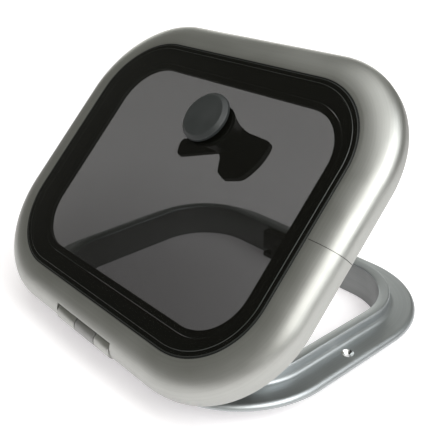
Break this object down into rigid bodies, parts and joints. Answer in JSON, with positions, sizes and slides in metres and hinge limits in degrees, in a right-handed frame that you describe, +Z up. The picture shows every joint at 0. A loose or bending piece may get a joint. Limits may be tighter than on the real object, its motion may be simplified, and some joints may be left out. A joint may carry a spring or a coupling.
{
  "type": "deck hatch",
  "caption": "Low-profile rounded deck hatch: tinted pane in a soft-edged aluminium lid on a central hinge, turn handle and flanged base frame, shown propped open",
  "frame": {"origin": "Middle of the assembly's box, on the plane of the coaming's lower edge, with the lid open 45 degrees", "axes": "X along the hinge, +X towards the arm with the lid's seam; +Y from the hinge to the latch side; +Z up, out of the deck"},
  "size_m": [0.4728, 0.37, 0.3118],
  "materials": {
    "satin_aluminium": "satin anodised",
    "satin_aluminium_dark": "satin anodised, duller",
    "zinc_steel": "zinc plated",
    "stainless": "turned",
    "tinted_acrylic": "smoked, polished",
    "black_rubber": "matt",
    "black_plastic": "moulded, satin",
    "dark_grey_plastic": "moulded, satin"
  },
  "bodies": {
    "base": {"base_frame": "satin_aluminium", "base_joint_key": "zinc_steel", "keeper": "black_plastic", "keeper_screw_left": "stainless", "keeper_screw_right": "stainless", "hinge_base_bracket": "satin_aluminium", "hinge_base_screw_left": "stainless", "hinge_base_screw_right": "stainless", "hinge_pin": "stainless", "hinge_cap_left": "black_plastic", "hinge_cap_right": "black_plastic", "hinge_washer_left": "black_plastic", "hinge_washer_right": "black_plastic"},
    "lid": {"lid_frame": "satin_aluminium", "lid_joint_key": "zinc_steel", "glazing_pane": "tinted_acrylic", "glazing_sealant": "black_rubber", "inner_trim": "black_plastic", "lid_gasket": "black_rubber", "hinge_lid_bracket": "satin_aluminium_dark", "hinge_lid_screw_left": "stainless", "hinge_lid_screw_right": "stainless", "hinge_bush": "black_plastic", "spindle_bush": "black_plastic", "bearing_plate": "black_plastic"},
    "handle": {"outer_knob": "dark_grey_plastic", "knob_gasket": "black_rubber", "spindle": "stainless", "spindle_o_ring": "black_rubber", "handle_lever": "black_plastic", "latch_tongue": "black_plastic", "spring_washer": "stainless", "handle_screw": "stainless", "screw_cap": "black_plastic"}
  },
  "joints": [
    {"name": "lid_hinge", "type": "hinge", "parent": "base", "child": "lid", "pos_m": [0, -0.1745, 0.0435], "axis": [1, 0, 0], "range_deg": [-45, 45]},
    {"name": "handle_turn", "type": "hinge", "parent": "lid", "child": "handle", "pos_m": [0.004, -0.0031, 0.23965], "axis": [0, -0.7071, 0.7071], "range_deg": [-61, 0]}
  ]
}
